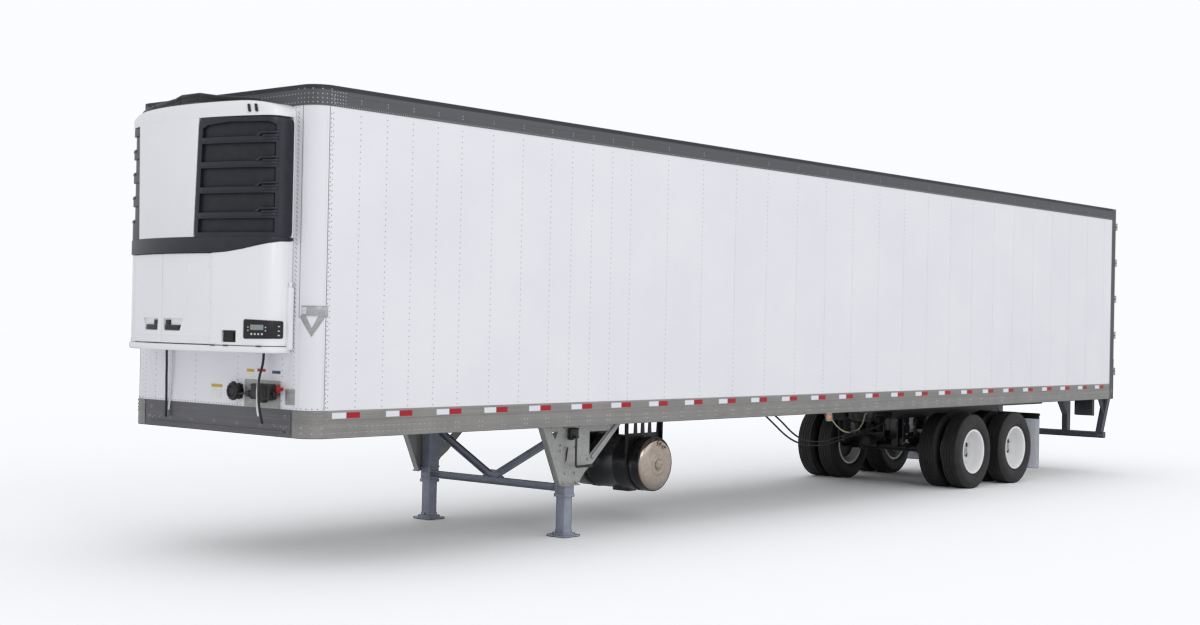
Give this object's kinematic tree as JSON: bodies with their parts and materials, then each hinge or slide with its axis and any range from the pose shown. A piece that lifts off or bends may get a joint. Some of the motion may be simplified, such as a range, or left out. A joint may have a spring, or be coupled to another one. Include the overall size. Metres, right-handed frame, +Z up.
{
  "type": "refrigerated semi-trailer",
  "caption": "Long white insulated box semi-trailer with a nose-mounted cooling unit, tandem dual-wheel bogie, rear swing doors and landing legs.",
  "frame": {"origin": "on the ground, midway along the trailer's length and width", "axes": "+X forward towards the kingpin end, +Y to the trailer's left, +Z up"},
  "size_m": [16.676, 2.6068, 4.115],
  "materials": {
    "white_panel": "satin",
    "unit_white": "gloss",
    "unit_trim": "satin",
    "coil_aluminium": "matt",
    "engine_iron": "matt",
    "rail_aluminium": "mill",
    "floor_aluminium": "mill",
    "frame_steel": "satin",
    "galvanised_steel": "galvanised",
    "kingpin_steel": "machined",
    "gear_paint": "satin",
    "tank_black": "semi-gloss",
    "rubber": "matt",
    "hose_rubber": "satin",
    "lamp_plastic": "gloss",
    "tyre": "matt",
    "wheel_white": "gloss"
  },
  "bodies": {
    "trailer": {"air_line_lower": "hose_rubber", "air_line_upper": "hose_rubber", "air_reservoirs": "tank_black", "air_springs": "rubber", "axles": "tank_black", "bogie_frame": "tank_black", "brake_chambers": "tank_black", "coils": "coil_aluminium", "coupler_plate": "frame_steel", "crossmembers": "frame_steel", "dock_bumpers": "rubber", "drain_hose_left": "hose_rubber", "drain_hose_right": "hose_rubber", "engine_block": "engine_iron", "floor": "floor_aluminium", "front_bottom_rail": "rail_aluminium", "front_corner_posts": "white_panel", "front_top_rail": "rail_aluminium", "front_wall": "white_panel", "front_wall_plates": "galvanised_steel", "fuel_tank": "tank_black", "fuel_tank_brackets": "tank_black", "gladhand_box": "tank_black", "gladhands": "rubber", "hose_clips": "hose_rubber", "kingpin": "kingpin_steel", "lamps": "lamp_plastic", "landing_braces": "gear_paint", "landing_crank": "gear_paint", "landing_feet": "gear_paint", "landing_legs": "gear_paint", "mudflaps": "rubber", "rear_frame": "frame_steel", "rear_frame_hardware": "galvanised_steel", "rear_impact_guard": "frame_steel", "roof": "white_panel", "side_bottom_rails": "rail_aluminium", "side_top_rails": "rail_aluminium", "side_walls": "white_panel", "slider_rails": "frame_steel", "supply_hose": "hose_rubber", "unit_band": "unit_trim", "unit_control_panel": "unit_white", "unit_grille": "unit_trim", "unit_housing": "unit_white"},
    "left_rear_door": {"left_rear_door": "white_panel", "left_door_hardware": "galvanised_steel"},
    "right_rear_door": {"right_rear_door": "white_panel", "right_door_hardware": "galvanised_steel"},
    "left_service_door": {"service_door_left": "unit_white"},
    "right_service_door": {"service_door_right": "unit_white"},
    "front_left_wheels": {"front_left_tyres": "tyre", "front_left_wheels": "wheel_white"},
    "front_right_wheels": {"front_right_tyres": "tyre", "front_right_wheels": "wheel_white"},
    "rear_left_wheels": {"rear_left_tyres": "tyre", "rear_left_wheels": "wheel_white"},
    "rear_right_wheels": {"rear_right_tyres": "tyre", "rear_right_wheels": "wheel_white"}
  },
  "joints": [
    {"name": "left_rear_door_hinge", "type": "hinge", "parent": "trailer", "child": "left_rear_door", "pos_m": [-8.326, 1.283, 2.7], "axis": [0, 0, 1], "range_deg": [-270, 0]},
    {"name": "right_rear_door_hinge", "type": "hinge", "parent": "trailer", "child": "right_rear_door", "pos_m": [-8.326, -1.283, 2.7], "axis": [0, 0, 1], "range_deg": [0, 270]},
    {"name": "right_service_door_hinge", "type": "hinge", "parent": "trailer", "child": "right_service_door", "pos_m": [8.18367, -0.858, 2.3], "axis": [0, 0, 1], "range_deg": [-110, 0]},
    {"name": "left_service_door_hinge", "type": "hinge", "parent": "trailer", "child": "left_service_door", "pos_m": [8.2961, 0.44, 2.3], "axis": [0, 0, 1], "range_deg": [0, 110]},
    {"name": "front_left_wheel_spin", "type": "hinge", "parent": "trailer", "child": "front_left_wheels", "pos_m": [-3.747, 0.9835, 0.505], "axis": [0, 1, 0], "continuous": true},
    {"name": "front_right_wheel_spin", "type": "hinge", "parent": "trailer", "child": "front_right_wheels", "pos_m": [-3.747, -0.9835, 0.505], "axis": [0, 1, 0], "continuous": true},
    {"name": "rear_left_wheel_spin", "type": "hinge", "parent": "trailer", "child": "rear_left_wheels", "pos_m": [-4.992, 0.9835, 0.505], "axis": [0, 1, 0], "continuous": true},
    {"name": "rear_right_wheel_spin", "type": "hinge", "parent": "trailer", "child": "rear_right_wheels", "pos_m": [-4.992, -0.9835, 0.505], "axis": [0, 1, 0], "continuous": true}
  ]
}
